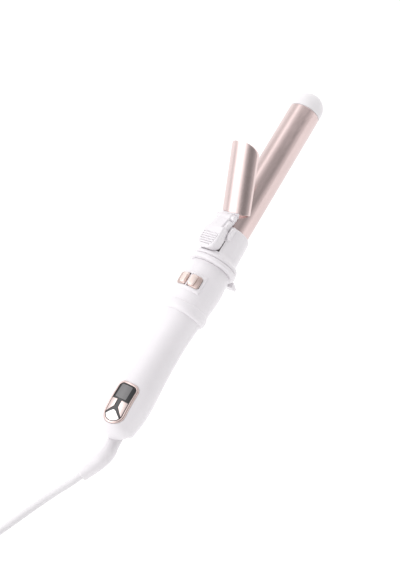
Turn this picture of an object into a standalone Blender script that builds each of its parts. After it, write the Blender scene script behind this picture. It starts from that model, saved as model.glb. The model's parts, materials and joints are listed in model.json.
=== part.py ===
"""A curling iron whose barrel turns, lying on a table on its own stand.

The iron is drawn in its own frame, in millimetres: X runs along its axis from the
rear end of the handle to the cool tip, Y is its left side, and Z points up through
the buttons. The empty iron_frame leans that frame back until the stand's foot and
the underside of the handle both touch the table. The origin is the middle of the
foot's face on the table.
"""

import math

import bmesh
import bpy
from mathutils import Matrix, Vector

MM = 0.001  # the sizes below are in millimetres
GAP = 0.3  # left between solids that touch

# Driving dimensions
BARREL_RADIUS = 14.0
BARREL_FRONT = 327.0
CLAMP_OPENING = 36.0  # degrees from the barrel
HEAD_ROLL = -10.5  # degrees that the head has turned about the iron's axis
CLAMP_PIVOT = (203.5, 0, 17.2)
CLAMP_PIN_RADIUS = 0.9
CLAMP_LUG_RADIUS = 1.9
LEVER_RIB_PITCH = 2.1
BUTTON_ANGLE = 18.0  # degrees that each rotation button lies off the middle of its pad
PAD_ROLL = -3.5  # degrees that the buttons' pad is turned about the iron's axis
BUTTON_X = 139.8
STAND_PIN = (163.3, 0, -23.5)
STAND_PIN_RADIUS = 0.85
HINGE_RADIUS = 1.95  # of the lug and the knuckles round the stand's pin
FOOT_REACH = 33.0  # from the iron's axis to the stand's foot
CORD_Z = -8.0  # height of the cord's exit against the iron's axis
CORD_RADIUS = 3.0
SWIVEL_START = 3.9

# The gears between the motor and the head
MODULE = 0.6
GEAR_TEETH = 25
PINION_TEETH = 11
PINION_Z = -MODULE * (GEAR_TEETH + PINION_TEETH) / 2
GEAR_SPAN = (149.0, 153.0)

# The coil that the cord is put away in, on the table, with Z up
COIL_CENTRE = (-348.0, 28.0)
COIL_RADII = (22.0, 49.6)
COIL_HEIGHT = 12.0
COIL_EXIT_ANGLE = 120.0  # where the cord's end leaves the coil, in degrees
COIL_OUTER_TURN = 46.5

# The handle's outer side from its widest nose to the joint with the housing
NOSE_LENGTH = 12.0
NOSE_RADIUS = 15.6
HANDLE_STATIONS = [
    (NOSE_LENGTH, NOSE_RADIUS), (20, 16.8), (28.5, 17.4), (40, 17.2), (50, 16.5),
    (64, 15.7), (87, 15.2), (103, 15.8), (113.2, 16.6),
]  # fmt: skip


# ---------------------------------------------------------------- helpers


def clear_scene():
    for obj in list(bpy.data.objects):
        bpy.data.objects.remove(obj, do_unlink=True)


def collection(name):
    made = bpy.data.collections.new(name)
    bpy.context.scene.collection.children.link(made)
    return made


def material(name, colour, roughness, metallic=0.0):
    made = bpy.data.materials.new(name)
    made.use_nodes = True
    shader = made.node_tree.nodes["Principled BSDF"]
    shader.inputs["Base Color"].default_value = (*colour, 1)
    shader.inputs["Roughness"].default_value = roughness
    shader.inputs["Metallic"].default_value = metallic
    made.diffuse_color = (*colour, 1)
    return made


clear_scene()
PARTS = collection("curling_iron")
CUTTERS = collection("cutters")
WHITE = material("white_plastic", (0.87, 0.84, 0.86), 0.28)
ROSE = material("rose_gold", (0.78, 0.60, 0.57), 0.3, 1.0)
GLASS = material("dark_window", (0.05, 0.05, 0.055), 0.15)
STEEL = material("steel", (0.6, 0.6, 0.62), 0.3, 1.0)
ALUMINIUM = material("aluminium", (0.75, 0.76, 0.77), 0.35, 1.0)
COPPER = material("copper", (0.85, 0.5, 0.32), 0.3, 1.0)
BOARD = material("circuit_board", (0.03, 0.2, 0.09), 0.5)
BLACK = material("black_plastic", (0.03, 0.03, 0.03), 0.5)
NYLON = material("nylon", (0.75, 0.73, 0.66), 0.5)
CERAMIC = material("ceramic", (0.7, 0.68, 0.62), 0.6)


def empty(name, parent=None, location=(0, 0, 0), rotation=(0, 0, 0)):
    """A frame that pieces hang from: location in millimetres, rotation in degrees."""
    made = bpy.data.objects.new(name, None)
    made.empty_display_size = 0.02
    made.location = Vector(location) * MM
    made.rotation_euler = [math.radians(angle) for angle in rotation]
    made.parent = parent
    PARTS.objects.link(made)
    return made


def hinge_frame(name, parent, pivot, turn=0.0):
    """An empty on a hinge's axis, turned about its Y by degrees. Pieces hang from the
    second empty, whose origin is back at the parent's before that turn."""
    hinge = empty(name, parent, pivot, (0, turn, 0))
    return empty(f"{name}_pieces", hinge, -Vector(pivot))


def add(name, data, look, parent):
    """A part if it has a look, and otherwise a cutter or a shape to be joined."""
    made = bpy.data.objects.new(name, data)
    made.parent = parent
    if look:
        data.materials.append(look)
        PARTS.objects.link(made)
    else:
        made.hide_render = True
        made.display_type = "WIRE"
        CUTTERS.objects.link(made)
    return made


def add_bmesh(name, bm, look, parent):
    mesh = bpy.data.meshes.new(name)
    bm.to_mesh(mesh)
    bm.free()
    mesh.shade_smooth()
    mesh.set_sharp_from_angle(angle=math.radians(35))
    return add(name, mesh, look, parent)


def signed_area(outline):
    """Positive where the outline runs counter-clockwise."""
    ends = zip(outline, outline[1:] + outline[:1])
    return sum(x0 * y1 - x1 * y0 for (x0, y0), (x1, y1) in ends) / 2


def arc(centre, radius, start, end, steps):
    """Points along an arc, its angles in degrees, with both ends."""
    angles = [math.radians(start + (end - start) * i / steps) for i in range(steps + 1)]
    return [
        (centre[0] + radius * math.cos(a), centre[1] + radius * math.sin(a))
        for a in angles
    ]


def smooth(points, per_span=2):
    """A Catmull-Rom curve through the points, with that many steps from each to the next."""
    rows = [Vector(point) for point in points]
    rows = [2 * rows[0] - rows[1], *rows, 2 * rows[-1] - rows[-2]]
    made = []
    for a, b, c, d in zip(rows, rows[1:], rows[2:], rows[3:]):
        for step in range(per_span):
            t = step / per_span
            made.append(
                b + (c - a) * (t / 2) + (2 * a - 5 * b + 4 * c - d) * (t * t / 2)
                + (3 * b - a - 3 * c + d) * (t**3 / 2)
            )  # fmt: skip
    return [tuple(point) for point in [*made, rows[-2]]]


def grown(outline, by):
    """The outline with each side moved outwards by a distance and its corners mitred."""
    if signed_area(outline) < 0:
        outline = outline[::-1]
    points = [Vector(point) for point in outline]
    made = []
    for before, here, after in zip(points[-1:] + points, points, points[1:] + points):
        first = (here - before).normalized()
        second = (after - here).normalized()
        out = Vector((first.y + second.y, -first.x - second.x))
        made.append(tuple(here + out * (by / (1 + first.dot(second)))))
    return made


def turned(name, profile, look=None, parent=None, steps=40, axis="X"):
    """A closed profile of (distance along the axis, radius), turned about X or Z."""
    if signed_area(profile) < 0:
        profile = profile[::-1]
    on_axis = profile[0][1] == 0 and profile[-1][1] == 0
    place = (lambda h, r: (h, 0, r)) if axis == "X" else (lambda h, r: (r, 0, h))
    bm = bmesh.new()
    row = [bm.verts.new(Vector(place(h, r)) * MM) for h, r in profile]
    for first, second in zip(row, row[1:]):
        bm.edges.new((first, second))
    if not on_axis:
        bm.edges.new((row[-1], row[0]))
    made = add_bmesh(name, bm, look, parent)
    screw = made.modifiers.new("Turned", "SCREW")
    screw.axis = axis
    screw.steps = steps
    screw.render_steps = steps
    screw.use_merge_vertices = True
    screw.merge_threshold = 0.00001
    return made


def box(name, xs, ys, zs, look=None, parent=None, rounded=0.0):
    """A box from its spans along X, Y and Z."""
    bm = bmesh.new()
    bmesh.ops.create_cube(bm, size=1)
    spans = (xs, ys, zs)
    for vertex in bm.verts:
        vertex.co = [
            ((low + high) / 2 + (high - low) * c) * MM
            for c, (low, high) in zip(vertex.co, spans)
        ]
    made = add_bmesh(name, bm, look, parent)
    if rounded:
        round_edges(made, rounded)
    return made


def rod(name, radius, start, end, look=None, parent=None, sides=24):
    """A round bar between two points."""
    start, end = Vector(start) * MM, Vector(end) * MM
    along = end - start
    bm = bmesh.new()
    bmesh.ops.create_cone(
        bm, cap_ends=True, segments=sides, depth=along.length,
        radius1=radius * MM, radius2=radius * MM,
        matrix=Matrix.Translation((start + end) / 2)
        @ along.to_track_quat("Z", "Y").to_matrix().to_4x4(),
    )  # fmt: skip
    return add_bmesh(name, bm, look, parent)


# Where an outline's two directions and its thickness go, for each way that a prism runs
PRISM_PLACES = {
    "X": Matrix(((0, 0, 1, 0), (1, 0, 0, 0), (0, 1, 0, 0), (0, 0, 0, 1))),
    "Y": Matrix(((1, 0, 0, 0), (0, 0, 1, 0), (0, 1, 0, 0), (0, 0, 0, 1))),
    "Z": Matrix.Identity(4),
}


def prism(name, outline, span, look=None, parent=None, along="Z"):
    """A flat outline with a thickness: (x, y) along Z, (x, z) along Y or (y, z) along X."""
    curve = bpy.data.curves.new(name, "CURVE")
    curve.dimensions = "2D"
    curve.fill_mode = "BOTH"
    curve.extrude = (span[1] - span[0]) / 2 * MM
    spline = curve.splines.new("POLY")
    spline.points.add(len(outline) - 1)
    spline.use_cyclic_u = True
    for point, (u, v) in zip(spline.points, outline):
        point.co = (u * MM, v * MM, 0, 1)
    bm = bmesh_of(curve)
    middle = Matrix.Translation((0, 0, (span[0] + span[1]) / 2 * MM))
    bmesh.ops.transform(bm, matrix=PRISM_PLACES[along] @ middle, verts=bm.verts)
    bmesh.ops.recalc_face_normals(bm, faces=bm.faces)
    return add_bmesh(name, bm, look, parent)


def bmesh_of(curve):
    """The curve's solid as a mesh, with its caps welded to its sides."""
    holder = bpy.data.objects.new("holder", curve)
    CUTTERS.objects.link(holder)
    graph = bpy.context.evaluated_depsgraph_get()
    mesh = bpy.data.meshes.new_from_object(holder.evaluated_get(graph))
    bpy.data.objects.remove(holder)
    bpy.data.curves.remove(curve)
    bm = bmesh.new()
    bm.from_mesh(mesh)
    bpy.data.meshes.remove(mesh)
    bmesh.ops.remove_doubles(bm, verts=bm.verts, dist=1e-6)
    return bm


def arc_block(name, xs, radii, angles, look=None, parent=None, steps=12):
    """Part of a ring about the X axis, its angles in degrees from straight up to the left."""
    start, end = 90 - angles[0], 90 - angles[1]
    outline = arc((0, 0), radii[1], start, end, steps) + arc((0, 0), radii[0], end, start, steps)
    return prism(name, outline, xs, look, parent, along="X")


def tube(name, points, radius, look, parent=None, widths=None):
    """A round bar along a path, its radius times the width given for each point."""
    curve = bpy.data.curves.new(name, "CURVE")
    curve.dimensions = "3D"
    curve.bevel_depth = radius * MM
    curve.bevel_resolution = 2
    curve.use_fill_caps = True
    spline = curve.splines.new("POLY")
    spline.points.add(len(points) - 1)
    for i, point in enumerate(points):
        spline.points[i].co = (*(Vector(point) * MM), 1)
        spline.points[i].radius = widths[i] if widths else 1
    return add(name, curve, look, parent)


def combine(operation, obj, others):
    for other in others:
        modifier = obj.modifiers.new(f"{operation.lower()} {other.name}", "BOOLEAN")
        modifier.operation = operation
        modifier.object = other
    return obj


def cut(obj, *tools):
    return combine("DIFFERENCE", obj, tools)


def join(obj, *pieces):
    return combine("UNION", obj, pieces)


def keep(obj, *regions):
    return combine("INTERSECT", obj, regions)


def round_edges(obj, width, segments=2):
    modifier = obj.modifiers.new("Rounded edges", "BEVEL")
    modifier.width = width * MM
    modifier.segments = segments
    modifier.limit_method = "ANGLE"
    modifier.angle_limit = math.radians(40)
    return obj


def rounded_rectangle(xs, ys, radius, steps=4):
    (x0, x1), (y0, y1) = xs, ys
    return (
        arc((x1 - radius, y1 - radius), radius, 0, 90, steps)
        + arc((x0 + radius, y1 - radius), radius, 90, 180, steps)
        + arc((x0 + radius, y0 + radius), radius, 180, 270, steps)
        + arc((x1 - radius, y0 + radius), radius, 270, 360, steps)
    )


# ---------------------------------------------------------------- handle


def handle_outer():
    """The handle's outer side, from the end of its nose to the joint with the housing."""
    nose = [
        (NOSE_LENGTH * (1 - math.cos(a)), NOSE_RADIUS * math.sin(a))
        for a in (math.radians(degrees) for degrees in range(0, 90, 15))
    ]
    return nose + smooth(HANDLE_STATIONS)


def resting_tilt():
    """The angle in degrees at which the iron leans from its foot back onto its handle."""
    return math.degrees(
        min(math.atan2(FOOT_REACH - r, STAND_PIN[0] - x) for x, r in handle_outer())
    )


def handle_body(name, look, parent):
    """Both halves of the handle in one: a hollow turned shell with a closed nose."""
    tongue = [(113.2, 14.9), (119, 14.9), (119, 13.1)]
    inside = [(100, 13.7), (87, 13.4), (64, 13.9), (28.5, 15.6), (12, 14.0), (10.3, 13.9), (10.3, 0)]
    return turned(name, handle_outer() + tongue + inside, look, parent)


def panel_outline(inset=0.0):
    """The bezel's outline from above: a round rear end and two rounded front corners."""
    half, rear, front, corner = 9.75 - inset, 17.75, 43.2 - inset, 5.0 - inset
    return (
        arc((rear, 0), half, 90, 270, 12)
        + arc((front - corner, corner - half), corner, -90, 0, 4)
        + arc((front - corner, half - corner), corner, 0, 90, 4)
    )


def panel_band(name, parent, below, above):
    """A skin that follows the handle's surface, from below to above it."""
    outer = [(x, r) for x, r in handle_outer() if 2 < x < 52]
    profile = [(x, r + above) for x, r in outer] + [(x, r - below) for x, r in outer[::-1]]
    return turned(name, profile, None, parent)


SCREW_PLACES = {"rear": 55.0, "front": 98.0}


def handle_shells(parent):
    """The two halves of the handle and the two screws that hold them together."""
    split = 0.15
    upper = handle_body("handle_upper_shell", WHITE, parent)
    lower = handle_body("handle_lower_shell", WHITE, parent)
    cut(upper, box("below_split", (-5, 130), (-25, 25), (-25, split), parent=parent))
    cut(lower, box("above_split", (-5, 130), (-25, 25), (-split, 25), parent=parent))
    cut(lower, box("behind_lower", (-5, 8.5), (-25, 25), (-25, 5), parent=parent))
    hole = rod("cord_hole", 4.7, (5, 0, CORD_Z), (14, 0, CORD_Z), parent=parent)
    cut(lower, hole)
    opening = prism("panel_opening", panel_outline(-GAP), (6, 24), parent=parent)
    cut(upper, keep(opening, panel_band("panel_opening_band", parent, 2.2, 3.0)))
    for name, x in SCREW_PLACES.items():
        post = rod(f"{name}_post", 2.8, (x, 0, 15.2), (x, 0, 0.8), parent=parent)
        pilot = rod(f"{name}_pilot", 1.3, (x, 0, -1), (x, 0, 9), parent=parent)
        cut(join(upper, post), pilot)
        boss = rod(f"{name}_boss", 3.4, (x, 0, -0.8), (x, 0, -14.6), parent=parent)
        through = rod(f"{name}_through", 1.4, (x, 0, 1), (x, 0, -12), parent=parent)
        sunk = rod(f"{name}_counterbore", 2.5, (x, 0, -5), (x, 0, -20), parent=parent)
        cut(join(lower, boss), through, sunk)
        screw = rod(f"handle_screw_{name}", 1.0, (x, 0, 8), (x, 0, -6), STEEL, parent, 12)
        head = rod(f"{name}_screw_head", 2.1, (x, 0, -5.3), (x, 0, -7), parent=parent, sides=16)
        join(screw, head)


def control_panel(parent, key_frames):
    """The bezel, the window with its Y-shaped bars, the three keys and what they press."""
    bezel = prism("panel_bezel", panel_outline(), (6, 24), ROSE, parent)
    cut(bezel, prism("bezel_inside", panel_outline(1.7), (5, 25), parent=parent))
    keep(bezel, panel_band("bezel_band", parent, 1.8, 0.8))
    window = prism("panel_window", panel_outline(1.7 + GAP), (6, 24), GLASS, parent)
    key_arc = 7.5
    side_key = [(27.3, 2.1), (27.3, key_arc), *arc((17.75, 0), key_arc, 90, 106, 2), (21.6, 2.1)]
    power_key = [(18.4, -0.8), (18.4, 0.8), *arc((17.75, 0), key_arc, 120, 240, 8)]
    keys = {
        "minus_key": (side_key, (22.5, 5.0)),
        "plus_key": ([(x, -y) for x, y in side_key], (22.5, -5.0)),
        "power_key": (power_key, (13.8, 0.0)),
    }
    for name, (outline, (x, y)) in keys.items():
        frame = key_frames[name]
        cut(window, prism(f"{name}_hole", grown(outline, GAP), (5, 25), parent=parent))
        key = prism(name, outline, (6, 24), ROSE, frame)
        keep(key, panel_band(f"{name}_band", frame, 1.6, 0.35))
        join(key, rod(f"{name}_post", 1.2, (x, y, 12.8), (x, y, 15.2), parent=frame, sides=12))
        switch = name.replace("key", "key_switch")
        box(switch, (x - 1.7, x + 1.7), (y - 1.7, y + 1.7), (10.0, 12.0), BLACK, parent)
    keep(window, panel_band("window_band", parent, 1.6, -0.1))
    box("lcd_module", (29, 41.2), (-6.8, 6.8), (10.0, 13.4), GLASS, parent)
    box("control_board", (12.5, 44.5), (-8.3, 8.3), (8.5, 9.7), BOARD, parent)


def handle_inside(parent):
    box("main_board", (60, 94), (-11.3, 11.3), (-3.0, -1.6), BOARD, parent)
    rod("main_capacitor", 4.0, (66, 0, 2.7), (82, 0, 2.7), BLACK, parent)


# ---------------------------------------------------------------- front housing


def front_housing(parent, pad_frame):
    """The part ahead of the handle, with the raised pad that the buttons sit in."""
    bead = [(113.5, 17.0), (114.3, 18.2), (116.2, 19.0), (119, 19.15), (121.4, 18.8), (122.8, 18.1)]
    outer = smooth([(126, 18.2), (133, 18.8), (140.5, 19.2), (148, 19.0), (155, 18.3), (160.8, 17.6)])
    inner = [
        (160.8, 15.8), (159.5, 15.8), (159.5, 9.2), (155, 9.2), (155, 16.2), (148, 17.0),
        (140, 17.2), (132, 16.9), (124, 16.2), (120.5, 16.2), (119.5, 15.2), (113.5, 15.2),
    ]  # fmt: skip
    housing = turned("front_housing", bead + outer + inner, WHITE, parent)
    pad = arc_block("button_pad", (132.2, 147.6), (17.8, 20.1), (-38, 38), parent=pad_frame)
    opening = rounded_rectangle((BUTTON_X - 5.7, BUTTON_X + 5.7), (-10.8, 10.8), 1.2)
    join(housing, round_edges(pad, 0.7))
    cut(housing, prism("button_opening", opening, (8, 25), parent=pad_frame))


def rotation_button(name, side, frame):
    """A button in a frame whose Z runs out through it; side is +1 on the left, -1 on the right."""
    spread = sorted((-5.6 * side, 4.5 * side))
    raised = sorted((-5.6 * side, -1.2 * side))
    plate = box(
        name, (BUTTON_X - 5.4, BUTTON_X + 5.4), spread, (19.2, 21.0), ROSE, frame, rounded=0.6
    )
    block = box(
        f"{name}_block", (BUTTON_X - 4.9, BUTTON_X + 4.9), raised, (19.8, 22.6),
        parent=frame, rounded=0.7,
    )  # fmt: skip
    stem = rod(f"{name}_stem", 1.2, (BUTTON_X, 0, 14.3), (BUTTON_X, 0, 20), parent=frame, sides=12)
    join(plate, block, stem)


def button_board(parent):
    box("direction_board", (134, 147.5), (-9.2, 9.2), (9.6, 10.7), BOARD, parent)
    for name, y in (("left", 4.4), ("right", -4.4)):
        spans = ((BUTTON_X - 1.8, BUTTON_X + 1.8), (y - 1.8, y + 1.8), (11.0, 12.3))
        box(f"direction_switch_{name}", *spans, BLACK, parent)


# ---------------------------------------------------------------- stand


def stand_ring(parent):
    """The lip between housing and head, with a lug below that carries the stand."""
    lip = [(161.1, 18.2), (161.6, 20.3), (162.8, 21.2), (164.5, 21.3), (165.4, 20.8), (165.6, 20.0)]
    ring = turned("stand_ring", lip + [(165.6, 15.0), (161.1, 15.0)], WHITE, parent)
    x, _, z = STAND_PIN
    lug = [(x - HINGE_RADIUS, -18.2), *arc((x, z), HINGE_RADIUS, 180, 360, 8), (x + HINGE_RADIUS, -18.2)]
    join(ring, prism("stand_lug", lug, (-4, 4), parent=parent, along="Y"))
    cut(ring, rod("lug_hole", STAND_PIN_RADIUS + GAP, (x, -5, z), (x, 5, z), parent=parent))
    rod("stand_pin", STAND_PIN_RADIUS, (x, -7.4, z), (x, 7.4, z), STEEL, parent, sides=16)


def stand(frame):
    """The folding wedge: two knuckles on the pin and a foot cut level with the table."""
    x, _, z = STAND_PIN
    wedge = [(x - 1.5, z - 0.7), (x + 3.6, z - 0.7), (x + 1.6, -36), (x - 0.4, -36)]
    plate = prism("stand", wedge, (-12, 12), WHITE, frame, "Y")
    join(plate, rod("stand_knuckles", HINGE_RADIUS, (x, -8.3, z), (x, 8.3, z), parent=frame))
    cut(plate, box("lug_room", (x - 5, x + 5), (-4.3, 4.3), (z - 2.4, z + 5), parent=frame))
    cut(plate, rod("stand_hole", STAND_PIN_RADIUS + GAP, (x, -7.7, z), (x, 7.7, z), parent=frame))
    cut(plate, box("under_table", (-20, 20), (-20, 20), (-20, 0)))


# ---------------------------------------------------------------- rotating head


def head_housing(parent):
    """The head's collar, its double lip, the lugs that carry the clamp and the hollow shaft."""
    profile = [
        (143.5, 5.6), (166.2, 5.6), (166.2, 19.9), (166.6, 20.6), (168, 20.8), (169.2, 20.3),
        (169.7, 19.2), (170.3, 18.2), (171.8, 17.4), (178, 17.1), (185, 16.9), (196, 16.5),
        (197.2, 16.2), (198, 15.5), (198.2, 14.6), (198.2, 14.3), (174, 14.3), (174, 4.0), (143.5, 4.0),
    ]  # fmt: skip
    head = turned("head_housing", profile, WHITE, parent)
    shoulder = [(184, 11), (197.6, 11), (197.6, 14.6), (194.5, 16.3), (189, 16.5), (185.5, 14.8)]
    for name, ys in (("left", (9.4, 12.2)), ("right", (-12.2, -9.4))):
        piece = prism(f"{name}_shoulder", shoulder, ys, parent=parent, along="Y")
        join(head, round_edges(piece, 0.8))
    for name, angles in (("left", (-34.5, -29.5)), ("right", (29.5, 34.5))):
        cut(head, arc_block(f"{name}_lever_slot", (172.6, 183.6), (16.0, 18.0), angles, parent=parent))
    x, _, z = CLAMP_PIVOT
    lug = [
        (192.5, 14.6), (198, 14.8), (201, z - CLAMP_LUG_RADIUS),
        *arc((x, z), CLAMP_LUG_RADIUS, -90, 90, 8), (199, 18.5), (193.5, 16.1),
    ]  # fmt: skip
    for name, ys in (("left", (2.9, 5.2)), ("right", (-5.2, -2.9))):
        join(head, prism(f"{name}_clamp_lug", lug, ys, parent=parent, along="Y"))
    cut(head, rod("pin_hole", CLAMP_PIN_RADIUS + GAP, (x, -6, z), (x, 6, z), parent=parent))
    rod("clamp_pin", CLAMP_PIN_RADIUS, (x, -8.9, z), (x, 8.9, z), STEEL, parent, sides=16)


def barrel_parts(parent):
    """The heated barrel, its cool tip and what is inside it."""
    outer, inner = BARREL_RADIUS, BARREL_RADIUS - 1.2
    span = (175.0, BARREL_FRONT)
    ring_profile = [(span[0], inner), (span[1], inner), (span[1], outer), (span[0], outer)]
    turned("barrel", ring_profile, ROSE, parent, steps=48)
    tip = [
        (318, 0), (318, inner - GAP), (BARREL_FRONT + GAP, inner - GAP),
        (BARREL_FRONT + GAP, outer), *arc((332.3, 0), outer, 90, 0, 8)[:-1], (332.3 + outer, 0),
    ]  # fmt: skip
    turned("cool_tip", tip, WHITE, parent, steps=48)
    sleeve = [(175.5, 10), (186, 10), (186, inner - GAP), (175.5, inner - GAP)]
    turned("barrel_insulator", sleeve, CERAMIC, parent, steps=24)
    for name, angles in (("upper", (-78, 78)), ("lower", (102, 258))):
        arc_block(f"heater_block_{name}", (215, 305), (10.8, inner - GAP), angles, ALUMINIUM, parent)
    box("ptc_heater", (220, 300), (-8.5, 8.5), (-2.5, 2.5), CERAMIC, parent)
    rod("thermal_fuse", 1.6, (192, 0, 5), (204, 0, 5), STEEL, parent, sides=12)


def clamp_spring(parent):
    """The coil spring round the clamp's pin, between the head's two lugs."""
    x, _, z = CLAMP_PIVOT
    turns, per_turn, length, radius = 4.5, 10, 4.0, 1.5
    count = int(turns * per_turn)
    points = [
        (
            x + radius * math.cos(math.tau * i / per_turn),
            length * (i / count - 0.5),
            z + radius * math.sin(math.tau * i / per_turn),
        )
        for i in range(count + 1)
    ]
    tube("clamp_spring", points, 0.25, STEEL, parent)


# ---------------------------------------------------------------- clamp


def clamp_plate(frame):
    """The curved plate that presses the hair onto the barrel."""
    inner = BARREL_RADIUS + GAP
    rear, front, half, corner = 206.7, 266.5, 13.8, 10.0
    profile = [(rear, inner), (front, inner), (front, inner + 0.8), (rear, inner + 0.8)]
    plate = turned("clamp_plate", profile, ROSE, frame, steps=48)
    outline = [
        (rear - 1, -half), *arc((front - corner, corner - half), corner, -90, 0, 6),
        *arc((front - corner, half - corner), corner, 0, 90, 6), (rear - 1, half),
    ]  # fmt: skip
    keep(plate, prism("clamp_outline", outline, (0, 20), parent=frame))


def clamp_cap(closed, resting):
    """The cap on the plate's rear end: a knuckle on the pin, a lip and a dome behind it.
    The two frames are the clamp's when it is shut and when it is open."""
    x, _, z = CLAMP_PIVOT
    cap = rod("clamp_cap", 2.8, (x, -9.8, z), (x, 9.8, z), WHITE, resting, 32)
    lip = arc_block("cap_lip", (x, 207.9), (15.4, 16.7), (-36, 36), parent=closed)
    dome = arc_block("cap_dome", (198.8, x + 0.5), (15.6, 18.7), (-31.6, 31.6), parent=resting)
    crest = rod("cap_crest", 3.5, (x, -6.4, z), (x, 6.4, z), parent=resting, sides=32)
    ridge = box("cap_ridge", (198.8, x + 0.2), (-6.2, 6.2), (16.6, z + 3.3), parent=resting)
    join(cap, lip, dome, crest, ridge)
    room = CLAMP_LUG_RADIUS + GAP
    cut(cap, rod("lug_room", room, (x, -5.5, z), (x, 5.5, z), parent=resting, sides=32))
    for name, frame, y in (("closed", closed, 5.6), ("resting", resting, 5.7)):
        cut(
            cap,
            box(f"{name}_lug_room", (x - 12, x), (-y, y), (z - room, z + room), parent=frame),
            rod(f"{name}_barrel_room", 14.4, (190, 0, 0), (215, 0, 0), parent=frame, sides=48),
        )
    cut(cap, rod("cap_hole", CLAMP_PIN_RADIUS + GAP, (x, -9.2, z), (x, 9.2, z), parent=resting))


def thumb_lever(frame):
    """The hollow tongue behind the pin that the thumb presses to open the clamp."""
    rear, front, half, corner = 169.7, 191.2, 9.6, 7.0
    top = [
        (front, -half), (front, half), *arc((rear + corner, half - corner), corner, 90, 180, 6),
        *arc((rear + corner, corner - half), corner, 180, 270, 6),
    ]  # fmt: skip
    lever = prism("thumb_lever", top, (12.0, 24.0), WHITE, frame)
    round_edges(lever, 1.6, 3)
    neck = [(187, 19.6), (187, 24.1), (191, 23.5), (195, 21.6), (198.5, 20.4), (198.5, 19.2)]
    join(lever, prism("lever_neck", neck, (-5.8, 5.8), parent=frame, along="Y"))
    collar = [(160, 0), (160, 21.3), (170.4, 21.3), (171.2, 18.9), (173, 17.9), (200, 17.3), (200, 0)]
    cut(lever, turned("collar_room", collar, None, frame))
    cut(lever, box("lever_hollow", (172.4, 189.4), (-7.9, 7.9), (12, 22.0), parent=frame))
    for name, ys in (("left", (9.0, 13)), ("right", (-13, -9.0))):
        cut(lever, box(f"{name}_shoulder_room", (183.4, 200), ys, (10, 17), parent=frame))
    for i, reach in enumerate((4.6, 6.4, 7.3, 7.6, 7.6, 7.6)):
        x = rear + 2.2 + LEVER_RIB_PITCH * i
        ends = ((x, -reach, 23.6), (x, reach, 23.6))
        join(lever, rod(f"lever_rib_{i}", 0.95, *ends, parent=frame, sides=12))


# ---------------------------------------------------------------- drive


def gear_outline(teeth, first_angle):
    """An involute gear, with a tooth pointing at the first angle, in radians."""
    pressure, play = math.radians(25), 0.14
    pitch = MODULE * teeth / 2
    base = pitch * math.cos(pressure)
    root, tip = pitch - 0.72, pitch + 0.5
    half_at_pitch = (math.pi * MODULE / 2 - play) / 2 / pitch

    def half_angle(radius):
        reach = math.acos(min(1, base / radius))
        spread = math.tan(reach) - reach
        return half_at_pitch + math.tan(pressure) - pressure - spread

    radii = [root, max(base, root + 0.05), pitch, tip]
    outline = []
    for tooth in range(teeth):
        middle = first_angle + math.tau * tooth / teeth
        rising = [(r, middle - half_angle(r)) for r in radii]
        falling = [(r, 2 * middle - a) for r, a in rising[::-1]]
        outline += [(r * math.cos(a), r * math.sin(a)) for r, a in rising + falling]
    return outline


def drive_train(iron, head, pinion):
    """The motor, its gearbox and the gears that turn the head, with the shaft's bearing."""
    rod("drive_motor", 4.8, (121, 0, PINION_Z), (131.5, 0, PINION_Z), STEEL, iron)
    rod("gearbox", 4.8, (131.8, 0, PINION_Z), (143.2, 0, PINION_Z), ALUMINIUM, iron)
    head_turn = math.radians(-90 - HEAD_ROLL)
    gear = prism("drive_gear", gear_outline(GEAR_TEETH, head_turn), GEAR_SPAN, NYLON, head, "X")
    cut(gear, rod("gear_bore", 5.9, (145, 0, 0), (155, 0, 0), parent=head, sides=32))
    half_pitch = math.pi / PINION_TEETH
    teeth = gear_outline(PINION_TEETH, math.radians(90) + half_pitch)
    wheel = prism("drive_pinion", teeth, GEAR_SPAN, COPPER, pinion, "X")
    join(wheel, rod("pinion_shaft", 1.0, (143.5, 0, 0), (150, 0, 0), parent=pinion, sides=16))
    bush = [(155.2, 5.9), (159.3, 5.9), (159.3, 8.9), (155.2, 8.9)]
    turned("bearing_bush", bush, COPPER, iron, steps=24)


def slip_rings(iron, head):
    """The drum and rings on the turning shaft, and the brushes that bring the current."""
    drum = [(144, 5.9), (148.6, 5.9), (148.6, 6.8), (144, 6.8)]
    turned("slip_drum", drum, BLACK, head, steps=24)
    box("brush_block", (144, 148.6), (8.7, 12.6), (-3.5, 3.5), BLACK, iron)
    for name, x in (("rear", 145.0), ("front", 147.6)):
        ring = [(x - 0.7, 7.1), (x + 0.7, 7.1), (x + 0.7, 7.6), (x - 0.7, 7.6)]
        turned(f"slip_ring_{name}", ring, COPPER, head, steps=24)
        box(f"brush_{name}", (x - 0.6, x + 0.6), (7.9, 8.4), (-1.2, 1.2), COPPER, iron)


# ---------------------------------------------------------------- cord


def swivel_sleeve(frame):
    """The sleeve that lets the cord turn: a collar outside the wall and a flange inside it."""
    bore = 3.4
    profile = [
        (SWIVEL_START, bore), (12.6, bore), (12.6, 5.4), (10.6, 5.4), (10.6, 4.4), (8.2, 4.4),
        (8.2, 5.7), (SWIVEL_START, 5.7),
    ]  # fmt: skip
    turned("swivel_sleeve", profile, WHITE, frame, steps=24)


# The cord's route on the table, with Z up, from the boot's end to the coil
CORD_ROUTE = [
    (-200.8, 8.1, 5.4), (-210, 12.8, 4.8), (-223, 20.6, 3.7), (-241, 29.6, 3.05),
    (-262, 39.0, 3.05), (-284, 49.3, 3.05), (-306.0, 59.7, 3.05),
]  # fmt: skip


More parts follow.
